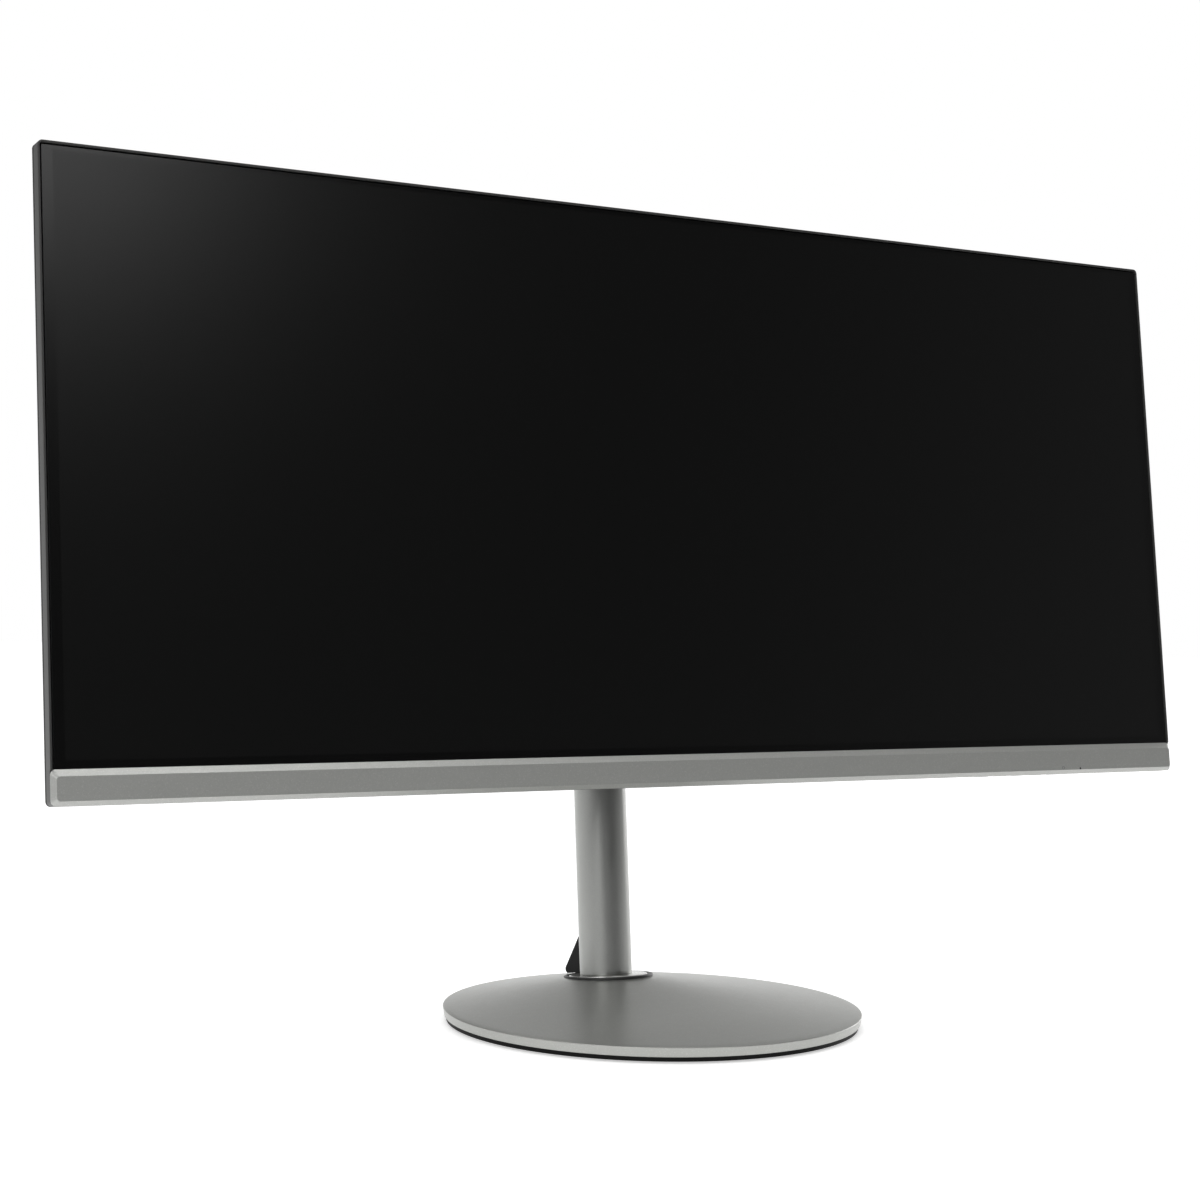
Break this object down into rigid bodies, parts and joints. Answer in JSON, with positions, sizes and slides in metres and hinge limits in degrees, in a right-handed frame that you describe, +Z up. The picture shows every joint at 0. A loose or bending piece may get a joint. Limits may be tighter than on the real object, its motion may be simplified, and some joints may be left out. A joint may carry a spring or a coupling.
{
  "type": "computer monitor",
  "caption": "Flat ultrawide desktop screen with a thin black frame and a silver lower strip, on a leaning round column with a round foot; it lifts, swivels and tilts.",
  "frame": {"origin": "centre of the round foot on the desk", "axes": "+Z up, -Y the way the screen faces, +X to the viewer's right along the screen"},
  "size_m": [0.817, 0.2664, 0.5147],
  "materials": {
    "silver_paint": "satin silver-grey paint with a fine sparkle",
    "silver_plastic": "silver metallic paint on plastic",
    "light_metal": "brushed satin",
    "black_plastic": "fine matt texture",
    "shell_plastic": "fine spark-eroded texture",
    "screen_glass": "anti-glare matt film",
    "clear_plastic": "clear acrylic",
    "white_film": "white film",
    "plated_steel": "zinc plated",
    "bright_steel": "machined",
    "black_screws": "black oxide",
    "spring_steel": "blued spring steel",
    "cast_zinc": "cast zinc, black",
    "slippery_plastic": "acetal",
    "board": "green solder mask",
    "socket_metal": "nickel plated",
    "socket_plastic": "black nylon",
    "speaker_plastic": "black",
    "foot_rubber": "soft"
  },
  "bodies": {
    "foot": {"base_plate": "silver_paint", "base_weight": "plated_steel", "base_bottom_cover": "black_plastic", "rubber_feet": "foot_rubber", "base_screws": "black_screws", "swivel_socket": "black_plastic", "swivel_washer": "slippery_plastic"},
    "column": {"turntable": "light_metal", "swivel_stop_pin": "bright_steel", "swivel_spindle": "bright_steel", "swivel_nut": "bright_steel", "column_tube": "silver_paint", "column_foot": "cast_zinc", "column_cap": "black_plastic", "spring_strip": "spring_steel", "cable_clip": "black_plastic"},
    "lift": {"lift_carriage": "cast_zinc", "guide_pads": "slippery_plastic", "drum_pin": "bright_steel", "tilt_yoke": "cast_zinc", "yoke_screws": "bright_steel", "tilt_pin": "bright_steel", "friction_washers": "bright_steel", "tilt_nut": "bright_steel", "hinge_cover": "black_plastic"},
    "drum": {"spring_drum": "slippery_plastic", "spring_coil": "spring_steel"},
    "power_key": {"power_button": "black_plastic"},
    "menu_key_1": {"menu_button_1": "black_plastic"},
    "menu_key_2": {"menu_button_2": "black_plastic"},
    "menu_key_3": {"menu_button_3": "black_plastic"},
    "menu_key_4": {"menu_button_4": "black_plastic"},
    "head": {"audio_jack": "socket_plastic", "backlight_tray": "plated_steel", "button_board": "board", "chassis_bracket": "plated_steel", "chin_trim": "silver_plastic", "cover_screws": "black_screws", "diffuser_sheet": "white_film", "displayport_socket": "socket_metal", "driver_board": "board", "hdmi_ports": "socket_metal", "lcd_glass": "screen_glass", "led_bar": "board", "light_guide": "clear_plastic", "main_board": "board", "middle_frame": "shell_plastic", "power_board": "board", "power_inlet": "socket_plastic", "rear_cover": "shell_plastic", "reflector_sheet": "white_film", "speaker_left": "speaker_plastic", "speaker_right": "speaker_plastic", "status_led": "clear_plastic", "tilt_bracket": "plated_steel", "vesa_plate": "plated_steel", "vesa_screws": "black_screws"}
  },
  "joints": [
    {"name": "swivel", "type": "hinge", "parent": "foot", "child": "column", "pos_m": [0, 0.05381, 0.0206], "axis": [0, 0.1028, 0.9947], "range_deg": [-30, 30]},
    {"name": "lift", "type": "slide", "parent": "column", "child": "lift", "axis": [0, 0.1028, 0.9947], "range_m": [-0.12, 0]},
    {"name": "drum_turn", "type": "hinge", "parent": "lift", "child": "drum", "pos_m": [0, 0.08321, 0.27589], "axis": [1, 0, 0], "range_deg": [-748.3, 0]},
    {"name": "tilt", "type": "hinge", "parent": "lift", "child": "head", "pos_m": [0, 0.04855, 0.32672], "axis": [1, 0, 0], "range_deg": [-17.9, 12.1]},
    {"name": "power_press", "type": "slide", "parent": "head", "child": "power_key", "axis": [0, 0.1236, 0.9923], "range_m": [0, 0.0008], "stiffness_N_per_m": 400, "springref_m": -0.0004},
    {"name": "menu_press_1", "type": "slide", "parent": "head", "child": "menu_key_1", "axis": [0, 0.1236, 0.9923], "range_m": [0, 0.0008], "stiffness_N_per_m": 400, "springref_m": -0.0004},
    {"name": "menu_press_2", "type": "slide", "parent": "head", "child": "menu_key_2", "axis": [0, 0.1236, 0.9923], "range_m": [0, 0.0008], "stiffness_N_per_m": 400, "springref_m": -0.0004},
    {"name": "menu_press_3", "type": "slide", "parent": "head", "child": "menu_key_3", "axis": [0, 0.1236, 0.9923], "range_m": [0, 0.0008], "stiffness_N_per_m": 400, "springref_m": -0.0004},
    {"name": "menu_press_4", "type": "slide", "parent": "head", "child": "menu_key_4", "axis": [0, 0.1236, 0.9923], "range_m": [0, 0.0008], "stiffness_N_per_m": 400, "springref_m": -0.0004}
  ],
  "couplings": [
    {"joint": "drum_turn", "follows": "lift", "rad_per_m": 108.7}
  ]
}
